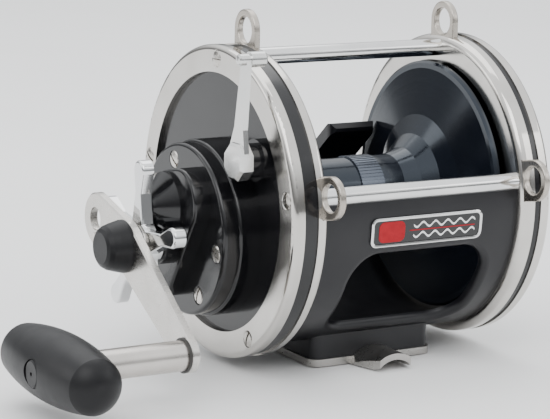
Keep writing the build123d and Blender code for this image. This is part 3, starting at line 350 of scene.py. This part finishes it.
def add_grid_solid(bm, rings):
    """Joins rings of equal length into a closed solid, first ring to last, with capped ends."""
    rows = [[bm.verts.new(point) for point in ring] for ring in rings]
    count = len(rows[0])
    for low, high in zip(rows, rows[1:]):
        for i in range(count):
            bm.faces.new((low[i], low[(i + 1) % count], high[(i + 1) % count], high[i]))
    bm.faces.new(list(reversed(rows[0])))
    bm.faces.new(rows[-1])


def on_shell(x, degrees, radius):
    angle = math.radians(degrees)
    return Vector((x, radius * math.cos(angle), AXLE_Z + radius * math.sin(angle)))


def tidy_faces(bm):
    bmesh.ops.recalc_face_normals(bm, faces=bm.faces)


# ---------------------------------------------------------------- nameplate
NAME_MIDDLE_X = 2.25 * MM
NAME_MIDDLE_ANGLE = 185.1
NAME_FIELD_R = SHELL_R + 0.5 * MM
BORDER_OUTSIDE = (26.35, 5.9, 2.7)     # half width, half height and corner radius, in millimetres
BORDER_INSIDE = (25.2, 4.75, 1.7)
BORDER_POINTS = 160
WAVE_START, WAVE_LENGTH = -6.5, 29.5
WAVE_LEVELS = (-2.1, 2.0)
WAVE_HEIGHT, WAVE_HALF_WIDTH = 0.95, 0.42
WAVE_COUNT = 5
RED_PANEL = (-16.6, (6.1, 4.2, 2.4))   # place across the plate, then its outline
RED_LINE = (7.4, (15.6, 0.22, 0.1))


def on_name(across, along, radius):
    """A point of the nameplate: across and along in millimetres from its middle."""
    degrees = NAME_MIDDLE_ANGLE + math.degrees(along * MM / SHELL_R)
    return on_shell(NAME_MIDDLE_X + across * MM, degrees, radius)


def rounded_outline(half_wide, half_tall, corner, steps=7):
    """Outline of a rounded rectangle, as (across, along) points."""
    points = []
    for index, (side_x, side_y) in enumerate(((1, 1), (-1, 1), (-1, -1), (1, -1))):
        for step in range(steps + 1):
            turn = math.pi / 2 * (index + step / steps)
            points.append((
                side_x * (half_wide - corner) + corner * math.cos(turn),
                side_y * (half_tall - corner) + corner * math.sin(turn),
            ))
    return points


def finer(points, longest=1.5):
    """The same closed outline with its long runs divided, so that it bends with the shell."""
    out = []
    for (x0, y0), (x1, y1) in zip(points, points[1:] + points[:1]):
        count = max(1, math.ceil(math.hypot(x1 - x0, y1 - y0) / longest))
        out += [(x0 + (x1 - x0) * i / count, y0 + (y1 - y0) * i / count) for i in range(count)]
    return out


def even_outline(half_wide, half_tall, corner, count):
    """Points spread evenly along a rounded rectangle, so that two outlines pair up."""
    base = rounded_outline(half_wide, half_tall, corner)
    lengths = [math.dist(p, q) for p, q in zip(base, base[1:] + base[:1])]
    total = sum(lengths)
    points = []
    edge, walked = 0, 0.0
    for i in range(count):
        goal = total * i / count
        while walked + lengths[edge] < goal:
            walked += lengths[edge]
            edge += 1
        (x0, y0), (x1, y1) = base[edge], base[(edge + 1) % len(base)]
        share = (goal - walked) / lengths[edge]
        points.append((x0 + (x1 - x0) * share, y0 + (y1 - y0) * share))
    return points


def nameplate_border():
    """The raised bright edge, following the plate's round corners."""
    bm = bmesh.new()
    outer = even_outline(*BORDER_OUTSIDE, BORDER_POINTS)
    inner = even_outline(*BORDER_INSIDE, BORDER_POINTS)
    rows = []
    for (xo, yo), (xi, yi) in zip(outer, inner):
        middle = ((xo + xi) / 2, (yo + yi) / 2)
        rows.append([bm.verts.new(v) for v in (
            on_name(xo, yo, SHELL_R + 0.3 * MM), on_name(xo, yo, SHELL_R + 0.85 * MM),
            on_name(*middle, SHELL_R + 1.05 * MM),
            on_name(xi, yi, SHELL_R + 0.85 * MM), on_name(xi, yi, SHELL_R + 0.3 * MM),
        )])
    for here, there in zip(rows, rows[1:] + rows[:1]):
        for i in range(5):
            bm.faces.new((here[i], here[(i + 1) % 5], there[(i + 1) % 5], there[i]))
    tidy_faces(bm)
    return piece("nameplate_border", bm, "bar_chrome", "frame")


def nameplate_wave():
    """A plain decoration of two wavy lines, in place of any lettering."""
    bm = bmesh.new()
    segments = 90
    for level in WAVE_LEVELS:
        rings = []
        for i in range(segments + 1):
            t = i / segments
            across = WAVE_START + WAVE_LENGTH * t
            centre = level + WAVE_HEIGHT * math.sin(t * math.tau * WAVE_COUNT)
            half = WAVE_HALF_WIDTH
            rings.append([
                on_name(across, centre - half, NAME_FIELD_R - 0.1 * MM),
                on_name(across, centre + half, NAME_FIELD_R - 0.1 * MM),
                on_name(across, centre + half, NAME_FIELD_R + 0.2 * MM),
                on_name(across, centre - half, NAME_FIELD_R + 0.2 * MM),
            ])
        add_grid_solid(bm, rings)
    tidy_faces(bm)
    return piece("nameplate_wave", bm, "bar_chrome", "frame")


def nameplate_badge():
    """A plain red panel at the nameplate's left end, and a thin red line between the waves."""
    bm = bmesh.new()
    for shift, (half_wide, half_tall, corner) in (RED_PANEL, RED_LINE):
        rings = []
        for lift, inset in ((-0.1, 0.0), (0.12, 0.0), (0.2, 0.1)):
            smaller = (half_wide - inset, half_tall - inset, max(corner - inset, 0.05))
            outline = finer(rounded_outline(*smaller))
            rings.append([on_name(shift + x, y, NAME_FIELD_R + lift * MM) for x, y in outline])
        add_grid_solid(bm, rings)
    tidy_faces(bm)
    return piece("nameplate_badge", bm, "badge_red", "frame")


# ---------------------------------------------------------------- turned details
def turned_piece(name, profile, material, body, centre=(0.0, AXLE_Z), steps=160):
    """A closed ring turned from (x, radius) points about an axis along X, smoothly shaded."""
    bm = bmesh.new()
    rows = []
    for step in range(steps):
        turn = math.tau * step / steps
        y, z = math.cos(turn), math.sin(turn)
        rows.append([bm.verts.new((x, centre[0] + r * y, centre[1] + r * z)) for x, r in profile])
    count = len(profile)
    for step in range(steps):
        here, there = rows[step], rows[(step + 1) % steps]
        for i in range(count):
            bm.faces.new((here[i], here[(i + 1) % count], there[(i + 1) % count], there[i]))
    tidy_faces(bm)
    for face in bm.faces:
        face.smooth = True
    return piece(name, bm, material, body)


def bead(x, radius, size, name, material, body, centre=(0.0, AXLE_Z)):
    """A rounded rib standing on a flat face at x; size is its half width."""
    out = 1 if x > 0 else -1
    profile = [(x + out * size * math.sin(math.pi * i / 8), radius + size * math.cos(math.pi * i / 8))
               for i in range(9)]
    profile.append((x - out * 0.2 * MM, radius - size))
    profile.append((x - out * 0.2 * MM, radius + size))
    return turned_piece(name, profile, material, body, centre)


# ---------------------------------------------------------------- set up the picture
def look(azimuth, elevation, roll, distance, target):
    a, e, tilt = (math.radians(v) for v in (azimuth, elevation, roll))
    forward = Vector((-math.sin(a) * math.cos(e), math.cos(a) * math.cos(e), -math.sin(e)))
    level = forward.cross(Vector((0, 0, 1))).normalized()
    upright = level.cross(forward)
    right = level * math.cos(tilt) + upright * math.sin(tilt)
    up = upright * math.cos(tilt) - level * math.sin(tilt)
    place = Vector(target) - forward * distance
    axes = Matrix((right, up, -forward)).transposed().to_4x4()
    return Matrix.Translation(place) @ axes


def make_camera():
    data = bpy.data.cameras.new("photo_camera")
    data.sensor_width = 36.0
    data.lens = 153.05
    data.clip_start, data.clip_end = 0.01, 20
    camera = bpy.data.objects.new("photo_camera", data)
    bpy.context.scene.collection.objects.link(camera)
    camera.matrix_world = look(-30.33, 10.89, 1.16, 0.96539, (-32.87 * MM, 0, AXLE_Z - 5.44 * MM))
    bpy.context.scene.camera = camera


def area_light(name, place, size, energy, target=(0, 0, 0.06)):
    data = bpy.data.lights.new(name, "AREA")
    data.shape = "SQUARE"
    data.size = size
    data.energy = energy
    light = bpy.data.objects.new(name, data)
    bpy.context.scene.collection.objects.link(light)
    light.location = place
    light.rotation_euler = (Vector(target) - Vector(place)).to_track_quat("-Z", "Y").to_euler()


def make_studio():
    world = bpy.data.worlds.new("studio")
    bpy.context.scene.world = world
    world.use_nodes = True
    nodes = world.node_tree.nodes
    links = world.node_tree.links
    direction = nodes.new("ShaderNodeTexCoord")
    parts = nodes.new("ShaderNodeSeparateXYZ")
    links.new(direction.outputs["Generated"], parts.inputs[0])
    sky = nodes.new("ShaderNodeMapRange")
    sky.interpolation_type = "SMOOTHSTEP"
    sky.inputs["From Min"].default_value, sky.inputs["From Max"].default_value = 0.05, 0.6
    sky.inputs["To Min"].default_value, sky.inputs["To Max"].default_value = 0.3, 1.75
    links.new(parts.outputs["Z"], sky.inputs["Value"])
    background = nodes["Background"]
    background.inputs["Color"].default_value = (0.96, 0.98, 1.0, 1)
    links.new(sky.outputs["Result"], background.inputs["Strength"])
    area_light("key", (-0.7, -0.8, 1.1), 0.9, 7)
    area_light("fill", (1.1, -0.9, 0.6), 0.7, 3)
    area_light("top", (0.1, 0.5, 1.3), 1.2, 8)
    area_light("rim", (-1.2, 0.7, 0.5), 0.7, 3)
    bm = bmesh.new()
    floor_z = CAD_BOX[0].z - 0.5 * MM
    bmesh.ops.create_grid(bm, x_segments=1, y_segments=1, size=4.0)
    bmesh.ops.translate(bm, verts=bm.verts, vec=(0, 0, floor_z))
    mesh = bpy.data.meshes.new("floor")
    bm.to_mesh(mesh)
    bm.free()
    floor = bpy.data.objects.new("floor", mesh)
    bpy.context.scene.collection.objects.link(floor)
    mesh.materials.append(floor_material())


nameplate_border()
nameplate_wave()
nameplate_badge()
bead(TAIL_FACE_X, 46 * MM, 0.8 * MM, "tail_plate_rib", "plate_black", "frame")
make_camera()
make_studio()
